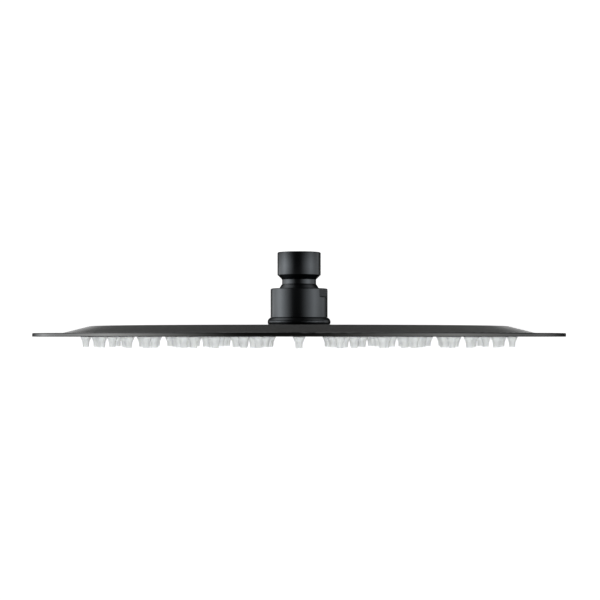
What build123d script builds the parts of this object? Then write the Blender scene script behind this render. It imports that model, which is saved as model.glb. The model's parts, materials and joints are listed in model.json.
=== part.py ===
from build123d import *
import os
from math import atan, cos, degrees, pi, radians, sqrt, tan

# Slim round rain shower head on a swivel ball connector. Lengths are in millimetres, angles in degrees.
# The origin is the centre of the inlet's mouth, +Z points up into the shower arm, and -Y is the front.

# Inlet: female G 1/2 pipe thread with a relief below it
thread_minor_dia = 18.631
thread_major_dia = 20.955
thread_depth = 8.5
mouth_chamfer = 0.4
relief_step = 0.12

# Washer and filter screen on the floor of the inlet
washer_thick = 2.5
washer_width = 3.2
washer_clearance = 0.15
washer_seat_width = 3.65
screen_thick = 0.4
screen_pitch = 1.7
screen_gap = 1.1

# Inlet collar, with a 45 degree cone down to the neck
collar_wall = 1.92
collar_height = 13.0
collar_edge_radius = 0.6
collar_foot_radius = 0.3
neck_length = 2.5

# Swivel ball, screwed up into the neck
ball_dia = 25.0
neck_step = 2.775
neck_wall = 2.475
stem_wall = 2.75
stem_length = 4.0
stem_end_gap = 0.2
ball_flat_angle = 28.7

# Fits
thread_clearance = 0.05
ball_clearance = 0.1
turning_clearance = 0.1
lip_clearance = 0.25
pocket_clearance = 0.3
gasket_clearance = 0.1
nozzle_clearance = 0.05

# Retaining nut, with two milled spanner flats at its top
ball_show = 2.6
nut_lip = 1.8
nut_wall = 2.2
nut_chamfer = 0.5
flat_depth = 1.0
flat_height = 5.2
flat_corner_radius = 0.8
flat_bearing = 64.5
flat_count = 2

# Bush above the ball and seal below it; the angles are from straight down at the ball's centre
bush_height = 4.4
seal_low_angle = 40.0
seal_high_angle = 64.0

# Base socket, clamped through the back plate
spigot_drop = 3.45
socket_wall = 1.75
ball_sink = 1.35
ball_room = 0.4
flange_overhang = 1.7
flange_height = 5.1
flange_top_radius = 2.6
flange_bottom_radius = 2.4
outlet_dia = 10.0
hub_wall = 4.0
hub_end = 0.1
gasket_margin = 3.0
gasket_edge = 3.4
gasket_thick = 0.8
locknut_wall = 3.0
locknut_height = 2.0

# Disc of two sheets, joined round a flat rim
disc_dia = 300.0
sheet = 1.0
rim_width = 16.0
slope_run = 15.7
dome_rise = 4.0
crown_bend_radius = 3.0
foot_bend_radius = 9.0
rim_edge_radius = 0.4

# Silicone nozzles, from the centre outwards: one on the axis, then concentric rings;
# in the outermost ring every second nozzle is set back towards the centre
ring_counts = (1, 6, 12, 18, 18, 24, 24, 36)
ring_shares = (0, 0.1585, 0.3015, 0.4425, 0.584, 0.7445, 0.8855, 1)
ring_margin = 13.5
ring_front = 90.0
ring_set_back = 5.0
nozzle_length = 5.7
nozzle_base_dia = 6.4
nozzle_tip_dia = 3.3
nozzle_neck_dia = 5.2
nozzle_inset = 0.6
nozzle_bore = 1.2
cone_sides = 8
neck_sides = 6
bore_sides = 4

# Radii that follow
thread_minor_r = thread_minor_dia / 2
relief_r = thread_major_dia / 2 + relief_step
collar_r = thread_major_dia / 2 + collar_wall
washer_outer_r = thread_minor_r - washer_clearance
washer_inner_r = washer_outer_r - washer_width
collar_way_r = washer_outer_r - washer_seat_width
ball_r = ball_dia / 2
neck_r = ball_r - neck_step
stem_r = neck_r - neck_wall
water_way_r = stem_r - stem_wall
outlet_r = outlet_dia / 2
hub_r = outlet_r + hub_wall
disc_r = disc_dia / 2

# Heights that follow, from the mouth down to the disc
relief_floor_z = -(thread_depth + washer_clearance + washer_thick + screen_thick)
screen_top_z = relief_floor_z + screen_thick
neck_top_z = -collar_height - (collar_r - neck_r)
neck_bottom_z = neck_top_z - neck_length
stem_top_z = neck_bottom_z + stem_length
stem_socket_z = stem_top_z + stem_end_gap
ball_z = neck_bottom_z - sqrt(ball_r**2 - neck_r**2)
nut_top_z = neck_bottom_z - ball_show
lip_z = nut_top_z - nut_lip
bush_top_z = lip_z - turning_clearance
bush_bottom_z = bush_top_z - bush_height
spigot_top_z = ball_z - spigot_drop
seal_top_z = ball_z - ball_r * cos(radians(seal_high_angle))
seal_bottom_z = ball_z - ball_r * cos(radians(seal_low_angle))
seal_floor_z = seal_bottom_z - turning_clearance
flange_top_z = ball_z - ball_r + ball_sink
chamber_floor_z = ball_z - ball_r - ball_room
flange_bottom_z = flange_top_z - flange_height
rim_top_z = flange_bottom_z - dome_rise
face_top_z = rim_top_z - sheet
face_bottom_z = face_top_z - sheet
locknut_top_z = flange_bottom_z - sheet
locknut_bottom_z = locknut_top_z - locknut_height
hub_bottom_z = locknut_bottom_z - hub_end


def on_sphere(radius, z):
    """Point (r, z) of the section where a sphere about the ball's centre passes height z."""
    return sqrt(radius**2 - (z - ball_z) ** 2), z


def sphere_arc(radius, z_from, z_to):
    """Arc of the section along a sphere about the ball's centre."""
    middle = on_sphere(radius, (z_from + z_to) / 2)
    return ThreePointArc(on_sphere(radius, z_from), middle, on_sphere(radius, z_to))


# Radii of the socket and nut, built up outwards from the ball
pocket_r = on_sphere(ball_r, spigot_top_z)[0] + pocket_clearance
chamber_r = on_sphere(ball_r, seal_floor_z)[0] + pocket_clearance
spigot_r = pocket_r + socket_wall
nut_bore_r = spigot_r + thread_clearance
nut_r = nut_bore_r + nut_wall
flange_r = nut_r + flange_overhang
gasket_inner_r = hub_r + gasket_margin
gasket_outer_r = flange_r - gasket_edge

os.makedirs("parts", exist_ok=True)

# Inlet collar
with BuildPart() as inlet_collar:
    with BuildSketch(Plane.XZ):
        with BuildLine():
            Polyline(
                (neck_r, neck_top_z),
                (neck_r, neck_bottom_z),
                (stem_r + thread_clearance, neck_bottom_z),
                (stem_r + thread_clearance, stem_socket_z),
                (collar_way_r, stem_socket_z),
                (collar_way_r, relief_floor_z),
                (relief_r, relief_floor_z),
                (relief_r, -thread_depth),
                (thread_minor_r, -thread_depth),
                (thread_minor_r, -mouth_chamfer),
                (thread_minor_r + mouth_chamfer, 0),
            )
            FilletPolyline(
                (thread_minor_r + mouth_chamfer, 0),
                (collar_r, 0),
                (collar_r, -collar_height),
                (neck_r, neck_top_z),
                radius=(collar_edge_radius, collar_foot_radius),
            )
        make_face()
    revolve(axis=Axis.Z)

# Washer that seals against the end of the shower arm
with BuildPart() as inlet_washer:
    with BuildSketch(Plane.XY.offset(screen_top_z)):
        Circle(washer_outer_r)
        Circle(washer_inner_r, mode=Mode.SUBTRACT)
    extrude(amount=washer_thick)

# Filter screen: square gaps wherever a whole gap fits inside the washer
screen_reach = int(washer_inner_r / screen_pitch)
screen_rows = 2 * screen_reach + 1
gap_limit = washer_inner_r - screen_gap / sqrt(2)
screen_grid = GridLocations(screen_pitch, screen_pitch, screen_rows, screen_rows)
gap_places = [place for place in screen_grid if place.position.length <= gap_limit]
with BuildPart() as filter_screen:
    with BuildSketch(Plane.XY.offset(relief_floor_z)):
        Circle(washer_outer_r)
        with Locations(*gap_places):
            Rectangle(screen_gap, screen_gap, mode=Mode.SUBTRACT)
    extrude(amount=screen_thick)

# Swivel ball: bored sphere with a flat foot, and the stem that screws into the neck
ball_foot_z = ball_z - ball_r * cos(radians(ball_flat_angle))
with BuildPart() as swivel_ball:
    with BuildSketch(Plane.XZ):
        with BuildLine():
            sphere_arc(ball_r, ball_foot_z, neck_bottom_z)
            Polyline(
                (neck_r, neck_bottom_z),
                (stem_r, neck_bottom_z),
                (stem_r, stem_top_z),
                (water_way_r, stem_top_z),
                (water_way_r, ball_foot_z),
                on_sphere(ball_r, ball_foot_z),
            )
        make_face()
    revolve(axis=Axis.Z)

# Retaining nut: its lip follows the ball, and the flats are milled with a rounded cutter
nut_lip_r = ball_r + lip_clearance
with BuildPart() as retaining_nut:
    with BuildSketch(Plane.XZ):
        with BuildLine():
            sphere_arc(nut_lip_r, nut_top_z, lip_z)
            Polyline(
                on_sphere(nut_lip_r, lip_z),
                (nut_bore_r, lip_z),
                (nut_bore_r, flange_top_z),
                (nut_r, flange_top_z),
                (nut_r, nut_top_z - nut_chamfer),
                (nut_r - nut_chamfer, nut_top_z),
                on_sphere(nut_lip_r, nut_top_z),
            )
        make_face()
    revolve(axis=Axis.Z)
    for flat in range(flat_count):
        bearing = flat_bearing + flat * 360 / flat_count
        with BuildSketch(Plane.XZ.rotated((0, 0, bearing - 90))):
            with BuildLine():
                FilletPolyline(
                    (nut_r - flat_depth, nut_top_z + flat_height),
                    (nut_r - flat_depth, nut_top_z - flat_height),
                    (nut_r + flat_depth, nut_top_z - flat_height),
                    (nut_r + flat_depth, nut_top_z + flat_height),
                    radius=(0, flat_corner_radius, 0, 0),
                    close=True,
                )
            make_face()
        extrude(amount=nut_r, both=True, mode=Mode.SUBTRACT)

# Bush between the nut's lip and the ball
bush_inner_r = ball_r + ball_clearance
bush_outer_r = nut_bore_r - turning_clearance
with BuildPart() as ball_bush:
    with BuildSketch(Plane.XZ):
        with BuildLine():
            sphere_arc(bush_inner_r, bush_bottom_z, bush_top_z)
            Polyline(
                on_sphere(bush_inner_r, bush_top_z),
                (bush_outer_r, bush_top_z),
                (bush_outer_r, bush_bottom_z),
                on_sphere(bush_inner_r, bush_bottom_z),
            )
        make_face()
    revolve(axis=Axis.Z)

# Seal that the ball is pressed onto
seal_inner_r = ball_r + ball_clearance
seal_outer_r = pocket_r - turning_clearance
with BuildPart() as ball_seal:
    with BuildSketch(Plane.XZ):
        with BuildLine():
            sphere_arc(seal_inner_r, seal_bottom_z, seal_top_z)
            Polyline(
                on_sphere(seal_inner_r, seal_top_z),
                (seal_outer_r, seal_top_z),
                (seal_outer_r, seal_bottom_z),
                on_sphere(seal_inner_r, seal_bottom_z),
            )
        make_face()
    revolve(axis=Axis.Z)

# Base socket: threaded spigot, rounded flange with a gasket groove under it, and hub through the plate
groove_inner_r = gasket_inner_r - gasket_clearance
groove_outer_r = gasket_outer_r + gasket_clearance
groove_z = flange_bottom_z + gasket_thick
with BuildPart() as base_socket:
    with BuildSketch(Plane.XZ):
        with BuildLine():
            Polyline(
                (spigot_r, flange_top_z),
                (spigot_r, spigot_top_z),
                (pocket_r, spigot_top_z),
                (pocket_r, seal_floor_z),
                (chamber_r, seal_floor_z),
                (chamber_r, chamber_floor_z),
                (outlet_r, chamber_floor_z),
                (outlet_r, hub_bottom_z),
                (hub_r, hub_bottom_z),
                (hub_r, flange_bottom_z),
                (groove_inner_r, flange_bottom_z),
                (groove_inner_r, groove_z),
                (groove_outer_r, groove_z),
                (groove_outer_r, flange_bottom_z),
            )
            FilletPolyline(
                (groove_outer_r, flange_bottom_z),
                (flange_r, flange_bottom_z),
                (flange_r, flange_top_z),
                (spigot_r, flange_top_z),
                radius=(flange_bottom_radius, flange_top_radius),
            )
        make_face()
    revolve(axis=Axis.Z)

# Gasket in the groove
with BuildPart() as base_gasket:
    with BuildSketch(Plane.XY.offset(flange_bottom_z)):
        Circle(gasket_outer_r)
        Circle(gasket_inner_r, mode=Mode.SUBTRACT)
    extrude(amount=gasket_thick)

# Thin hexagon nut that clamps the hub inside the disc
with BuildPart() as base_locknut:
    with BuildSketch(Plane.XY.offset(locknut_bottom_z)):
        RegularPolygon(hub_r + locknut_wall, 6, major_radius=False)
        Circle(hub_r + thread_clearance, mode=Mode.SUBTRACT)
    extrude(amount=locknut_height)

# Back plate: pressed sheet with a flat rim, a straight slope and a flat raised back
slope_outer_r = disc_r - rim_width
slope_inner_r = slope_outer_r - slope_run
bend_shift = sheet * tan(atan(dome_rise / slope_run) / 2)
plate_hole_r = hub_r + thread_clearance
with BuildPart() as back_plate:
    with BuildSketch(Plane.XZ):
        with BuildLine():
            FilletPolyline(
                (plate_hole_r, flange_bottom_z),
                (slope_inner_r, flange_bottom_z),
                (slope_outer_r, rim_top_z),
                (disc_r, rim_top_z),
                (disc_r, face_top_z),
                radius=(crown_bend_radius + sheet, foot_bend_radius, rim_edge_radius),
            )
            FilletPolyline(
                (disc_r, face_top_z),
                (slope_outer_r - bend_shift, face_top_z),
                (slope_inner_r - bend_shift, locknut_top_z),
                (plate_hole_r, locknut_top_z),
                radius=(foot_bend_radius + sheet, crown_bend_radius),
            )
            Line((plate_hole_r, locknut_top_z), (plate_hole_r, flange_bottom_z))
        make_face()
    revolve(axis=Axis.Z)

# Nozzle places, seen on the underside of the face plate with a nozzle of every ring at the front
underside = Plane((0, 0, face_bottom_z), x_dir=(1, 0, 0), z_dir=(0, 0, -1))
outer_ring_r = slope_outer_r - ring_margin
ring_places = [
    [*PolarLocations(share * outer_ring_r, count, start_angle=ring_front)]
    for share, count in zip(ring_shares, ring_counts)
]
half_ring = ring_counts[-1] // 2
half_step = 180 / half_ring
ring_places[-1] = [
    *PolarLocations(outer_ring_r, half_ring, start_angle=ring_front),
    *PolarLocations(outer_ring_r - ring_set_back, half_ring, start_angle=ring_front + half_step),
]

# Face plate: flat sheet with a hole for every nozzle
with BuildPart() as face_plate:
    with BuildSketch(underside):
        Circle(disc_r)
    extrude(amount=-sheet)
    fillet(face_plate.faces().sort_by(Axis.Z)[0].edges(), rim_edge_radius)
    with BuildSketch(underside):
        for places in ring_places:
            with Locations(*places):
                RegularPolygon(nozzle_neck_dia / 2 + nozzle_clearance, neck_sides)
    extrude(amount=-sheet, mode=Mode.SUBTRACT)

# Nozzles: a neck through the sheet, a shoulder on its outside and a bored cone
cone_narrowing = (nozzle_base_dia - nozzle_tip_dia) / 2 * cos(pi / cone_sides)
cone_taper = degrees(atan(cone_narrowing / nozzle_length))
neck_reach = sheet + nozzle_inset
nozzles = {}
for ring, places in enumerate(ring_places):
    with BuildPart() as nozzle_ring:
        with BuildSketch(underside):
            with Locations(*places):
                RegularPolygon(nozzle_base_dia / 2, cone_sides)
        extrude(amount=nozzle_length, taper=cone_taper)
        with BuildSketch(underside):
            with Locations(*places):
                RegularPolygon(nozzle_neck_dia / 2, neck_sides)
        extrude(amount=-neck_reach)
        with BuildSketch(underside.offset(nozzle_length)):
            with Locations(*places):
                RegularPolygon(nozzle_bore / 2, bore_sides)
        extrude(amount=-nozzle_length - neck_reach, mode=Mode.SUBTRACT)
    nozzles[f"nozzle_ring_{ring}" if ring else "centre_nozzle"] = nozzle_ring

pieces = {
    "inlet_collar": inlet_collar,
    "inlet_washer": inlet_washer,
    "filter_screen": filter_screen,
    "swivel_ball": swivel_ball,
    "retaining_nut": retaining_nut,
    "ball_bush": ball_bush,
    "ball_seal": ball_seal,
    "base_socket": base_socket,
    "base_gasket": base_gasket,
    "base_locknut": base_locknut,
    "back_plate": back_plate,
    "face_plate": face_plate,
    **nozzles,
}
for name, piece in pieces.items():
    piece.part.label = name
    export_step(piece.part, f"parts/{name}.step")
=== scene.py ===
import json
from math import atan, cos, pi, radians, sin

import bpy
from mathutils import Matrix, Vector


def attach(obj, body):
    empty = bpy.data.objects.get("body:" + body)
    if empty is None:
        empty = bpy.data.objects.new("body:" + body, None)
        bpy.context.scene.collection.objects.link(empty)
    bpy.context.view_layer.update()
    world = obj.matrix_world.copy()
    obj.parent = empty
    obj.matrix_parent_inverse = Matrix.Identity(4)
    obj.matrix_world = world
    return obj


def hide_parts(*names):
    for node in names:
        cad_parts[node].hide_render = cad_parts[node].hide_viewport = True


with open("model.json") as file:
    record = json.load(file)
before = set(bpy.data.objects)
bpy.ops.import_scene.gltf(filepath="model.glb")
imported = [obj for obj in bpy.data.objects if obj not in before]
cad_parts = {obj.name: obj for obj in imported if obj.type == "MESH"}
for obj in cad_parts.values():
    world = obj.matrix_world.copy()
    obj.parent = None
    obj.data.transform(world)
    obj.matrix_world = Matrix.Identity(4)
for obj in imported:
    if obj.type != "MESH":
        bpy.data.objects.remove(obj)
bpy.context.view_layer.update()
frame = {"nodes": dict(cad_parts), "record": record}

MM_PER_M = 1000

# Sizes of the solids, in millimetres, with heights from the inlet's mouth
THREAD_MINOR_R = 9.3155
THREAD_MAJOR_R = 10.4775
THREAD_PITCH = 1.814
THREAD_DEPTH = 8.5
RELIEF_R = 10.5975
RELIEF_FLOOR = -11.55
COLLAR_WAY_R = 5.5155
COLLAR_R = 12.3975
COLLAR_HEIGHT = 13.0
COLLAR_EDGE_R = 0.6
COLLAR_FOOT_R = 0.3
STEM_SOCKET_R = 7.3
STEM_SOCKET_TOP = -13.9725
NECK_R = 9.725
NECK_TOP = -15.6725
NECK_BOTTOM = -18.1725
SCREEN_R = 9.1655
SCREEN_MIDDLE = -11.35
FACE_BOTTOM = -48.2758
OUTER_RING_R = 120.5
RING_COUNTS = (1, 6, 12, 18, 18, 24, 24, 36)
RING_SHARES = (0, 0.1585, 0.3015, 0.4425, 0.584, 0.7445, 0.8855, 1)
RING_SET_BACK = 5.0

# Faces that meet at less than this are shaded as one smooth surface
SMOOTH_ANGLE = radians(40)

# Sockets of a Mix node that are for colours
MIX_FACTOR = 0
MIX_FIRST = 6
MIX_SECOND = 7
MIX_RESULT = 2


def linear(colour):
    """Linear RGBA of an sRGB hex colour."""
    channels = [int(colour[i : i + 2], 16) / 255 for i in (1, 3, 5)]
    return tuple(c / 12.92 if c <= 0.04045 else ((c + 0.055) / 1.055) ** 2.4 for c in channels) + (1.0,)


def add_node(tree, kind, settings=(), links=()):
    """Adds a node: settings are (socket or property, value) pairs, links are (socket, output) pairs."""
    node = tree.nodes.new(kind)
    for name, value in settings:
        if isinstance(name, int) or name in node.inputs:
            node.inputs[name].default_value = value
        else:
            setattr(node, name, value)
    for name, output in links:
        tree.links.new(output, node.inputs[name])
    return node


def add_math(tree, operation, first, second):
    """Result of a calculation: the first value is an output, the second one an output or a number."""
    node = add_node(tree, "ShaderNodeMath", [("operation", operation)], [(0, first)])
    if isinstance(second, float):
        node.inputs[1].default_value = second
    else:
        tree.links.new(second, node.inputs[1])
    return node.outputs["Value"]


def add_noise(tree, place, width, detail, roughness=0.5):
    """Noise on object coordinates, which are in metres, with a grain this many millimetres wide."""
    node = add_node(
        tree,
        "ShaderNodeTexNoise",
        [("Scale", MM_PER_M / width), ("Detail", detail), ("Roughness", roughness)],
        [("Vector", place)],
    )
    return node.outputs["Fac"]


def add_bump(tree, pattern, depth):
    """Normal of a surface on which the pattern is this many millimetres deep."""
    node = add_node(
        tree,
        "ShaderNodeBump",
        [("Strength", 1.0), ("Distance", depth / MM_PER_M)],
        [("Height", pattern)],
    )
    return node.outputs["Normal"]


def add_blend(tree, colours, share):
    """Colour between two hex colours, the first at a share of 0 and the second at 1."""
    node = add_node(
        tree,
        "ShaderNodeMix",
        [("data_type", "RGBA"), (MIX_FIRST, linear(colours[0])), (MIX_SECOND, linear(colours[1]))],
        [(MIX_FACTOR, share)],
    )
    return node.outputs[MIX_RESULT]


def new_material(name):
    """An empty node material, its tree and its output node."""
    material = bpy.data.materials.new(name)
    material.use_nodes = True
    material.node_tree.nodes.clear()
    output = add_node(material.node_tree, "ShaderNodeOutputMaterial")
    return material, material.node_tree, output


# Width in millimetres of the clouds in the coating's colour and gloss, and the range that the noise keeps to
CLOUD_WIDTH = 14.0
NOISE_LOW = 0.3
NOISE_HIGH = 0.7


def satin_black(name, colours, sheen, ior, roughness, spread, grain, depth):
    """Satin black coating on metal, with a faint colour in its highlights. Its roughness varies by the
    spread, and it has a sandy grain of this width and depth in millimetres."""
    material, tree, output = new_material(name)
    place = add_node(tree, "ShaderNodeTexCoord").outputs["Object"]
    sand = add_noise(tree, place, grain, detail=3.0, roughness=0.6)
    cloud = add_noise(tree, place, CLOUD_WIDTH, detail=2.0)
    gloss = add_node(
        tree,
        "ShaderNodeMapRange",
        [
            ("From Min", NOISE_LOW),
            ("From Max", NOISE_HIGH),
            ("To Min", roughness - spread),
            ("To Max", roughness + spread),
        ],
        [("Value", cloud)],
    )
    shader = add_node(
        tree,
        "ShaderNodeBsdfPrincipled",
        [("Metallic", 0.0), ("IOR", ior), ("Specular Tint", linear(sheen))],
        [
            ("Base Color", add_blend(tree, colours, cloud)),
            ("Roughness", gloss.outputs["Result"]),
            ("Normal", add_bump(tree, sand, depth)),
        ],
    )
    tree.links.new(shader.outputs["BSDF"], output.inputs["Surface"])
    return material


# The grains and skins below are finer on the real thing. They are drawn coarser here, so that they show.

# Turned brass with a thin black coating: dark, soft-edged highlights, a touch cooler than the disc
black_brass = satin_black(
    "satin_black_coating_on_turned_brass",
    colours=("#040506", "#060708"),
    sheen="#f5faff",
    ior=1.85,
    roughness=0.25,
    spread=0.02,
    grain=0.6,
    depth=0.004,
)

# Pressed sheet with a sprayed black coating: a little warmer and glossier, with a wider sandy grain
black_sheet = satin_black(
    "satin_black_coating_on_pressed_sheet",
    colours=("#050504", "#070706"),
    sheen="#fffdf9",
    ior=1.9,
    roughness=0.18,
    spread=0.02,
    grain=0.8,
    depth=0.004,
)


def plain_material(name, colours, grain, depth, settings):
    """Uncoated material with a skin of this grain width and depth in millimetres. Its colour varies with the
    skin between two values, and the settings go on the shader."""
    material, tree, output = new_material(name)
    place = add_node(tree, "ShaderNodeTexCoord").outputs["Object"]
    skin = add_noise(tree, place, grain, detail=2.0)
    shader = add_node(
        tree,
        "ShaderNodeBsdfPrincipled",
        settings,
        [("Base Color", add_blend(tree, colours, skin)), ("Normal", add_bump(tree, skin, depth))],
    )
    tree.links.new(shader.outputs["BSDF"], output.inputs["Surface"])
    return material


# Moulded silicone: milky and half clear, light glows through thin places and the skin has a dull sheen
clear_silicone = plain_material(
    "moulded_translucent_silicone",
    colours=("#f5f4ec", "#fbfaf3"),
    grain=1.5,
    depth=0.01,
    settings=[
        ("Metallic", 0.0),
        ("IOR", 1.41),
        ("Roughness", 0.42),
        ("Subsurface Weight", 0.9),
        ("Subsurface Radius", (1.0, 1.0, 0.95)),
        ("Subsurface Scale", 0.004),
    ],
)

# Moulded black rubber: matt, charcoal rather than black
seal_rubber = plain_material(
    "moulded_black_rubber",
    colours=("#1c1c1c", "#262625"),
    grain=0.5,
    depth=0.01,
    settings=[("Metallic", 0.0), ("IOR", 1.5), ("Roughness", 0.7)],
)

# Turned white acetal: creamy white with a waxy sheen
white_acetal = plain_material(
    "turned_white_acetal",
    colours=("#e9e8e1", "#f0efe9"),
    grain=0.8,
    depth=0.003,
    settings=[("Metallic", 0.0), ("IOR", 1.48), ("Roughness", 0.35)],
)

# Woven stainless wire: bright grey, with small hard glints on each wire
steel_wire = plain_material(
    "woven_stainless_wire",
    colours=("#b4b3ae", "#c6c5c0"),
    grain=0.3,
    depth=0.002,
    settings=[("Metallic", 1.0), ("Roughness", 0.28)],
)

# Plain turned brass: warm yellow with the dull gleam of a lathe finish
plain_brass = plain_material(
    "plain_turned_brass",
    colours=("#b8964f", "#c9a65e"),
    grain=0.4,
    depth=0.003,
    settings=[("Metallic", 1.0), ("Roughness", 0.32)],
)

FINISHES = {
    "black_brass": black_brass,
    "black_sheet": black_sheet,
    "clear_silicone": clear_silicone,
    "seal_rubber": seal_rubber,
    "white_acetal": white_acetal,
    "steel_wire": steel_wire,
    "plain_brass": plain_brass,
}
for subpart in frame["record"]["subparts"]:
    node = frame["nodes"][subpart["node"]]
    node.data.materials.clear()
    node.data.materials.append(FINISHES[subpart["material_slot"]])


def turned_skin(name, outline, segments):
    """Closed skin turned about Z: a circle at the outline's first (radius, height) in millimetres,
    extruded from point to point and bridged back to its start."""
    points = [(radius / MM_PER_M, height / MM_PER_M) for radius, height in outline]
    bpy.ops.object.select_all(action="DESELECT")
    bpy.ops.mesh.primitive_circle_add(vertices=segments, radius=points[0][0], location=(0, 0, points[0][1]))
    piece = bpy.context.object
    piece.name = name
    bpy.ops.object.transform_apply(location=True, rotation=False, scale=False)
    bpy.ops.object.mode_set(mode="EDIT")
    bpy.ops.mesh.select_mode(type="EDGE")
    bpy.ops.mesh.select_all(action="SELECT")
    for (radius, height), (next_radius, next_height) in zip(points, points[1:]):
        bpy.ops.mesh.extrude_edges_move(TRANSFORM_OT_translate={"value": (0, 0, next_height - height)})
        growth = next_radius / radius
        bpy.ops.transform.resize(value=(growth, growth, 1), center_override=(0, 0, next_height))
    bpy.ops.mesh.select_all(action="DESELECT")
    bpy.ops.mesh.select_non_manifold()
    bpy.ops.mesh.bridge_edge_loops()
    bpy.ops.mesh.select_all(action="SELECT")
    bpy.ops.mesh.normals_make_consistent(inside=False)
    bpy.ops.object.mode_set(mode="OBJECT")
    return piece


def rounded_corner(corner, before, after, radius, steps):
    """Points of the arc that rounds a corner of an outline, from the side of one neighbour to the other."""
    ways = []
    for neighbour in (before, after):
        length = ((neighbour[0] - corner[0]) ** 2 + (neighbour[1] - corner[1]) ** 2) ** 0.5
        ways.append(((neighbour[0] - corner[0]) / length, (neighbour[1] - corner[1]) / length))
    (ax, ay), (bx, by) = ways
    half_cos = ((1 + ax * bx + ay * by) / 2) ** 0.5
    half_sin = (1 - half_cos**2) ** 0.5
    cut = radius * half_cos / half_sin
    start = (corner[0] + ax * cut, corner[1] + ay * cut)
    end = (corner[0] + bx * cut, corner[1] + by * cut)
    middle_x, middle_y = (ax + bx) / (2 * half_cos), (ay + by) / (2 * half_cos)
    centre = (corner[0] + middle_x * radius / half_sin, corner[1] + middle_y * radius / half_sin)
    arc = []
    for step in range(steps + 1):
        share = step / steps
        x = start[0] * (1 - share) + end[0] * share - centre[0]
        y = start[1] * (1 - share) + end[1] * share - centre[1]
        reach = radius / (x * x + y * y) ** 0.5
        arc.append((centre[0] + x * reach, centre[1] + y * reach))
    return arc


def finish_piece(piece, body, slot, *nodes):
    """Gives a modelled piece its finish, the body it moves with and the solids it stands for."""
    piece.data.materials.clear()
    piece.data.materials.append(FINISHES[slot])
    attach(piece, body)
    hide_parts(*nodes)


# Inlet collar with its real pipe thread: the bore is at the major diameter and the ridge stands in it
MOUTH_CHAMFER = 0.2
RELIEF_SLOPE = 0.12
collar_mouth = (THREAD_MAJOR_R + MOUTH_CHAMFER, 0)
collar_edge = (COLLAR_R, 0)
collar_foot = (COLLAR_R, -COLLAR_HEIGHT)
cone_end = (NECK_R, NECK_TOP)
collar_outline = [
    collar_mouth,
    *rounded_corner(collar_edge, collar_mouth, collar_foot, COLLAR_EDGE_R, steps=5),
    *rounded_corner(collar_foot, collar_edge, cone_end, COLLAR_FOOT_R, steps=3),
    cone_end,
    (NECK_R, NECK_BOTTOM),
    (STEM_SOCKET_R, NECK_BOTTOM),
    (STEM_SOCKET_R, STEM_SOCKET_TOP),
    (COLLAR_WAY_R, STEM_SOCKET_TOP),
    (COLLAR_WAY_R, RELIEF_FLOOR),
    (RELIEF_R, RELIEF_FLOOR),
    (RELIEF_R, -THREAD_DEPTH),
    (THREAD_MAJOR_R, -THREAD_DEPTH + RELIEF_SLOPE),
    (THREAD_MAJOR_R, -MOUTH_CHAMFER),
]
inlet_collar = turned_skin("inlet_collar_with_thread", collar_outline, segments=96)

# Thread ridge: a four-cornered section, turned up along the helix and capped at both ends. Its root is sunk
# into the wall of the bore.
RIDGE_TURNS = 3.6
RIDGE_STEPS = 260
RIDGE_BOTTOM = -THREAD_DEPTH + 0.25
RIDGE_ROOT_R = THREAD_MAJOR_R + 0.1
RIDGE_HEIGHT = 1.6
CREST_FROM = 0.62
CREST_TO = 0.98
ridge_section = [
    (RIDGE_ROOT_R, RIDGE_BOTTOM),
    (THREAD_MINOR_R, RIDGE_BOTTOM + CREST_FROM),
    (THREAD_MINOR_R, RIDGE_BOTTOM + CREST_TO),
    (RIDGE_ROOT_R, RIDGE_BOTTOM + RIDGE_HEIGHT),
]
plane_corners_in_turn = (0, 1, 3, 2)
bpy.ops.object.select_all(action="DESELECT")
bpy.ops.mesh.primitive_plane_add(size=1)
thread_ridge = bpy.context.object
for vertex, (radius, height) in zip(plane_corners_in_turn, ridge_section):
    thread_ridge.data.vertices[vertex].co = (radius / MM_PER_M, 0, height / MM_PER_M)
bpy.ops.object.mode_set(mode="EDIT")
bpy.ops.mesh.select_all(action="SELECT")
bpy.ops.mesh.delete(type="ONLY_FACE")
bpy.ops.object.mode_set(mode="OBJECT")
helix = thread_ridge.modifiers.new("helix", "SCREW")
helix.angle = 2 * pi * RIDGE_TURNS
helix.screw_offset = THREAD_PITCH * RIDGE_TURNS / MM_PER_M
helix.steps = RIDGE_STEPS
helix.render_steps = RIDGE_STEPS
helix.use_merge_vertices = False
bpy.ops.object.modifier_apply(modifier="helix")
bpy.ops.object.mode_set(mode="EDIT")
bpy.ops.mesh.select_mode(type="EDGE")
bpy.ops.mesh.select_all(action="DESELECT")
bpy.ops.mesh.select_non_manifold()
bpy.ops.mesh.fill_holes(sides=len(ridge_section))
bpy.ops.mesh.select_all(action="SELECT")
bpy.ops.mesh.normals_make_consistent(inside=False)
bpy.ops.object.mode_set(mode="OBJECT")
bpy.ops.object.select_all(action="DESELECT")
thread_ridge.select_set(True)
inlet_collar.select_set(True)
bpy.context.view_layer.objects.active = inlet_collar
bpy.ops.object.join()
bpy.ops.object.shade_smooth_by_angle(angle=SMOOTH_ANGLE)
finish_piece(inlet_collar, "stem", "black_brass", "inlet_collar")


# Filter screen: crimped wires that pass over and under each other, at a wider pitch than in a real screen
# so that they show
WIRE_PITCH = 0.85
WIRE_R = 0.1


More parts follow.
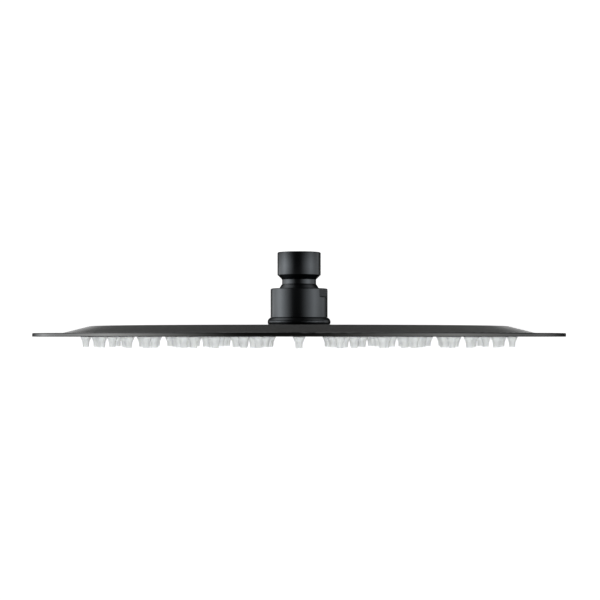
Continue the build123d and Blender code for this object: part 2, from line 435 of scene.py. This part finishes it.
def crimped_wires(name, along, lift):
    """One family of wires along axis 0 or 1, each going up and down from crossing to crossing."""
    count = 2 * int(SCREEN_R / WIRE_PITCH) + 1
    width = (count - 1) * WIRE_PITCH / MM_PER_M
    bpy.ops.object.select_all(action="DESELECT")
    bpy.ops.mesh.primitive_grid_add(
        x_subdivisions=count - 1,
        y_subdivisions=count - 1,
        size=width,
        location=(0, 0, SCREEN_MIDDLE / MM_PER_M),
    )
    wires = bpy.context.object
    wires.name = name
    bpy.ops.object.transform_apply(location=True, rotation=False, scale=False)
    mesh = wires.data
    bpy.ops.object.mode_set(mode="EDIT")
    bpy.ops.mesh.select_mode(type="VERT")
    for parity in (0, 1):
        bpy.ops.mesh.select_all(action="DESELECT")
        bpy.ops.object.mode_set(mode="OBJECT")
        for vertex in mesh.vertices:
            column = round((vertex.co.x + width / 2) * MM_PER_M / WIRE_PITCH)
            row = round((vertex.co.y + width / 2) * MM_PER_M / WIRE_PITCH)
            vertex.select = (column + row) % 2 == parity
        bpy.ops.object.mode_set(mode="EDIT")
        bpy.ops.transform.translate(value=(0, 0, (lift if parity else -lift) / MM_PER_M))
    bpy.ops.mesh.select_all(action="DESELECT")
    bpy.ops.mesh.select_mode(type="EDGE")
    bpy.ops.object.mode_set(mode="OBJECT")
    half_pitch = WIRE_PITCH / 2 / MM_PER_M
    for edge in mesh.edges:
        a, b = (mesh.vertices[v].co for v in edge.vertices)
        outside = max(a.xy.length, b.xy.length) > SCREEN_R / MM_PER_M
        edge.select = outside or abs(a[along] - b[along]) < half_pitch
    bpy.ops.object.mode_set(mode="EDIT")
    bpy.ops.mesh.delete(type="EDGE_FACE")
    bpy.ops.mesh.select_all(action="SELECT")
    bpy.ops.mesh.delete_loose(use_verts=True, use_edges=False, use_faces=False)
    bpy.ops.object.mode_set(mode="OBJECT")
    bpy.ops.object.convert(target="CURVE")
    wires.data.bevel_depth = WIRE_R / MM_PER_M
    wires.data.bevel_resolution = 1
    wires.data.use_fill_caps = True
    bpy.ops.object.convert(target="MESH")
    return bpy.context.object


warp = crimped_wires("filter_screen_woven", along=0, lift=WIRE_R)
weft = crimped_wires("filter_screen_weft", along=1, lift=-WIRE_R)
bpy.ops.object.select_all(action="DESELECT")
weft.select_set(True)
warp.select_set(True)
bpy.context.view_layer.objects.active = warp
bpy.ops.object.join()
bpy.ops.object.shade_smooth()
finish_piece(warp, "stem", "steel_wire", "filter_screen")

# Silicone nozzle: neck through the sheet, wide foot, hollow-sided cone and a bored tip. Heights are from the
# underside of the sheet.
NOZZLE_NECK_R = 2.5
NOZZLE_NECK_TOP = 1.6
NOZZLE_FOOT_R = 3.1
NOZZLE_SIDE = [(2.5, -1.4), (1.8, -3.1), (1.66, -5.45)]
NOZZLE_TIP_R = 1.45
NOZZLE_TIP = -5.7
NOZZLE_BORE_R = 0.6
nozzle_outline = [
    (NOZZLE_NECK_R, NOZZLE_NECK_TOP),
    (NOZZLE_NECK_R, 0),
    (NOZZLE_FOOT_R, 0),
    *NOZZLE_SIDE,
    (NOZZLE_TIP_R, NOZZLE_TIP),
    (NOZZLE_BORE_R, NOZZLE_TIP),
    (NOZZLE_BORE_R, NOZZLE_NECK_TOP),
]
nozzle = turned_skin("nozzle", [(r, FACE_BOTTOM + z) for r, z in nozzle_outline], segments=12)
bpy.ops.object.shade_smooth_by_angle(angle=SMOOTH_ANGLE)

# Rings of nozzles; every second one of the outermost ring is set back towards the axis
for ring, (count, share) in enumerate(zip(RING_COUNTS, RING_SHARES)):
    bpy.ops.object.select_all(action="DESELECT")
    for number in range(count):
        copy = nozzle.copy()
        copy.data = nozzle.data.copy()
        reach = share * OUTER_RING_R
        if share == 1 and number % 2:
            reach -= RING_SET_BACK
        turn = Matrix.Rotation(2 * pi * number / count, 4, "Z")
        copy.data.transform(turn @ Matrix.Translation((0, -reach / MM_PER_M, 0)))
        bpy.context.collection.objects.link(copy)
        copy.select_set(True)
    bpy.context.view_layer.objects.active = copy
    if count > 1:
        bpy.ops.object.join()
    copy.name = f"silicone_nozzles_ring_{ring}" if ring else "silicone_nozzle_centre"
    finish_piece(copy, "head", "clear_silicone", f"nozzle_ring_{ring}" if ring else "centre_nozzle")
bpy.data.objects.remove(nozzle)

# Camera: level with the underside of the disc, 0.82 m in front of its axis, tilted up to set the horizon low
CAMERA_DISTANCE = 0.82
PICTURE_PIXELS = 600
FOCAL_PIXELS = 1434.5
HORIZON_ROW = 336.75
AXIS_COLUMN = 299.1
SENSOR_WIDTH = 36.0
camera = bpy.data.objects.new("camera", bpy.data.cameras.new("camera"))
bpy.context.collection.objects.link(camera)
camera.data.sensor_width = SENSOR_WIDTH
camera.data.lens = FOCAL_PIXELS * SENSOR_WIDTH / PICTURE_PIXELS
camera.location = (0, -CAMERA_DISTANCE, FACE_BOTTOM / MM_PER_M)
tilt = atan((HORIZON_ROW - PICTURE_PIXELS / 2) / FOCAL_PIXELS)
pan = atan((AXIS_COLUMN - PICTURE_PIXELS / 2) / FOCAL_PIXELS)
camera.rotation_euler = (radians(90) + tilt, 0, pan)
bpy.context.scene.camera = camera

# Lamps: a slightly cool white in linear RGB, the watts of one square metre at a brightness of 1, and the
# middle of a lamp, which runs from 0 to 1 both across and upwards
LAMP_COLOUR = (0.95, 0.98, 1.0)
LAMP_WATTS = 4
LAMP_MIDDLE = 0.5


def softbox(name, bearing, rise, distance, middle, width, height, brightness, falloff):
    """Area lamp that faces the axis at a middle height, with lengths in metres; bearing is from the camera's
    side, positive to the right, and rise is above the horizon, in degrees. It fades out towards all its
    edges, more steeply with a larger falloff."""
    lamp = bpy.data.objects.new(name, bpy.data.lights.new(name, "AREA"))
    bpy.context.collection.objects.link(lamp)
    lamp.data.shape = "RECTANGLE"
    lamp.data.size = width
    lamp.data.size_y = height
    lamp.data.energy = LAMP_WATTS * brightness * width * height
    lamp.data.color = LAMP_COLOUR
    lamp.visible_camera = False
    level_way = cos(radians(rise))
    way = Vector((-sin(radians(bearing)) * level_way, cos(radians(bearing)) * level_way, -sin(radians(rise))))
    lamp.location = Vector((0, 0, middle)) - distance * way
    lamp.rotation_euler = way.to_track_quat("-Z", "Y").to_euler()
    lamp.data.use_nodes = True
    tree = lamp.data.node_tree
    tree.nodes.clear()
    place = add_node(tree, "ShaderNodeNewGeometry").outputs["Parametric"]
    axes = add_node(tree, "ShaderNodeSeparateXYZ", (), [("Vector", place)])
    across = add_math(tree, "PINGPONG", axes.outputs["X"], LAMP_MIDDLE)
    upward = add_math(tree, "PINGPONG", axes.outputs["Y"], LAMP_MIDDLE)
    inward = add_math(tree, "MULTIPLY", across, upward)
    share = add_math(tree, "MULTIPLY", inward, 1 / LAMP_MIDDLE**2)
    level = add_math(tree, "POWER", share, falloff)
    light = add_node(tree, "ShaderNodeEmission", (), [("Strength", level)])
    add_node(tree, "ShaderNodeOutputLight", (), [("Surface", light.outputs["Emission"])])
    return lamp


# Two wide softboxes, one on each side, give the upright highlights with soft edges
softbox(
    "left_softbox",
    bearing=-82, rise=0, distance=3.0, middle=0.06,
    width=10.1, height=1.8, brightness=2.95, falloff=2.0,
)
softbox(
    "right_softbox",
    bearing=64, rise=0, distance=3.0, middle=0.07,
    width=10.5, height=2.2, brightness=1.8, falloff=2.0,
)

# Two high ones light the ball and the top of the flange
softbox(
    "left_high_softbox",
    bearing=-97, rise=42, distance=1.5, middle=0,
    width=2.8, height=1.8, brightness=0.95, falloff=0.9,
)
softbox(
    "right_high_softbox",
    bearing=84, rise=42, distance=1.5, middle=0,
    width=2.2, height=1.9, brightness=0.42, falloff=0.9,
)

# Two cards further back draw the thin lines at the connector's edges
softbox(
    "left_card",
    bearing=-130, rise=0, distance=1.3, middle=-0.05,
    width=1.2, height=0.8, brightness=1.05, falloff=2.0,
)
softbox(
    "right_card",
    bearing=116, rise=0, distance=1.3, middle=0.1,
    width=1.4, height=1.4, brightness=0.65, falloff=2.0,
)

# A low softbox in front lights the nozzles; the coat doesn't mirror it, so the rim's lower edge stays dark
low_softbox = softbox(
    "low_softbox",
    bearing=0, rise=-52, distance=0.95, middle=0,
    width=2.4, height=1.4, brightness=2.25, falloff=0.5,
)
low_softbox.visible_glossy = False

# A faint softbox high up at the back lights the disc's slope
softbox(
    "top_softbox",
    bearing=180, rise=55, distance=2.6, middle=0,
    width=3.2, height=2.2, brightness=0.6, falloff=1.0,
)

# Stage, in metres: pale floor well below the hanging head, and a white backdrop far behind it that fills the
# picture
FLOOR = -1.25
FLOOR_SIZE = 60
BACKDROP = 5.5
BACKDROP_TOP = 3.2
BACKDROP_WIDTH = 2.72
bpy.ops.object.select_all(action="DESELECT")
bpy.ops.mesh.primitive_plane_add(size=FLOOR_SIZE, location=(0, 0, FLOOR))
floor = bpy.context.object
floor.name = "floor"
bpy.ops.mesh.primitive_plane_add(size=1, location=(0, BACKDROP, (FLOOR + BACKDROP_TOP) / 2))
backdrop = bpy.context.object
backdrop.name = "backdrop"
backdrop.rotation_euler.x = radians(90)
backdrop.scale = (BACKDROP_WIDTH, BACKDROP_TOP - FLOOR, 1)

WHITE = linear("#ffffff")
STAGE_COLOUR = linear("#e6e6e4")

# What the coating's gloss still sees of the stage where its level has faded out
FADED_GLOSS = 0.065


def stage_white(name, glow, gloss, axis, fade_from, fade_to):
    """Pale matt stage surface that keeps shadows. The camera and clear materials see it glow; the gloss of
    the coating sees another level, which fades out between two places along one axis."""
    material, tree, output = new_material(name)
    path = add_node(tree, "ShaderNodeLightPath")
    place = add_node(tree, "ShaderNodeNewGeometry").outputs["Position"]
    axes = add_node(tree, "ShaderNodeSeparateXYZ", (), [("Vector", place)])
    fade = add_node(
        tree,
        "ShaderNodeMapRange",
        [("From Min", fade_from), ("From Max", fade_to), ("To Min", gloss), ("To Max", FADED_GLOSS)],
        [("Value", axes.outputs[axis])],
    )
    shine = add_math(tree, "MULTIPLY", path.outputs["Is Glossy Ray"], fade.outputs["Result"])
    seen = add_math(tree, "MAXIMUM", path.outputs["Is Camera Ray"], path.outputs["Is Transmission Ray"])
    shown = add_math(tree, "MULTIPLY", seen, glow)
    level = add_math(tree, "MAXIMUM", shown, shine)
    matt = add_node(tree, "ShaderNodeBsdfDiffuse", [("Color", STAGE_COLOUR)])
    light = add_node(tree, "ShaderNodeEmission", [("Color", WHITE)], [("Strength", level)])
    both = add_node(tree, "ShaderNodeAddShader", (), [(0, matt.outputs[0]), (1, light.outputs[0])])
    tree.links.new(both.outputs[0], output.inputs["Surface"])
    return material


floor.data.materials.append(
    stage_white("pale_floor", glow=0.7, gloss=0.25, axis="Y", fade_from=-1.5, fade_to=-5.0)
)
backdrop.data.materials.append(
    stage_white("white_backdrop", glow=1.0, gloss=1.0, axis="Z", fade_from=0.28, fade_to=1.0)
)

# World: white to the camera, almost dark to everything else
WORLD_DARK = 0.02
world = bpy.data.worlds.new("studio")
bpy.context.scene.world = world
world.use_nodes = True
world_tree = world.node_tree
world_tree.nodes.clear()
path = add_node(world_tree, "ShaderNodeLightPath")
level = add_node(
    world_tree,
    "ShaderNodeMapRange",
    [("To Min", WORLD_DARK), ("To Max", 1.0)],
    [("Value", path.outputs["Is Camera Ray"])],
)
sky = add_node(
    world_tree,
    "ShaderNodeBackground",
    [("Color", WHITE)],
    [("Strength", level.outputs["Result"])],
)
add_node(world_tree, "ShaderNodeOutputWorld", (), [("Surface", sky.outputs["Background"])])

bpy.context.scene.view_settings.view_transform = "Standard"
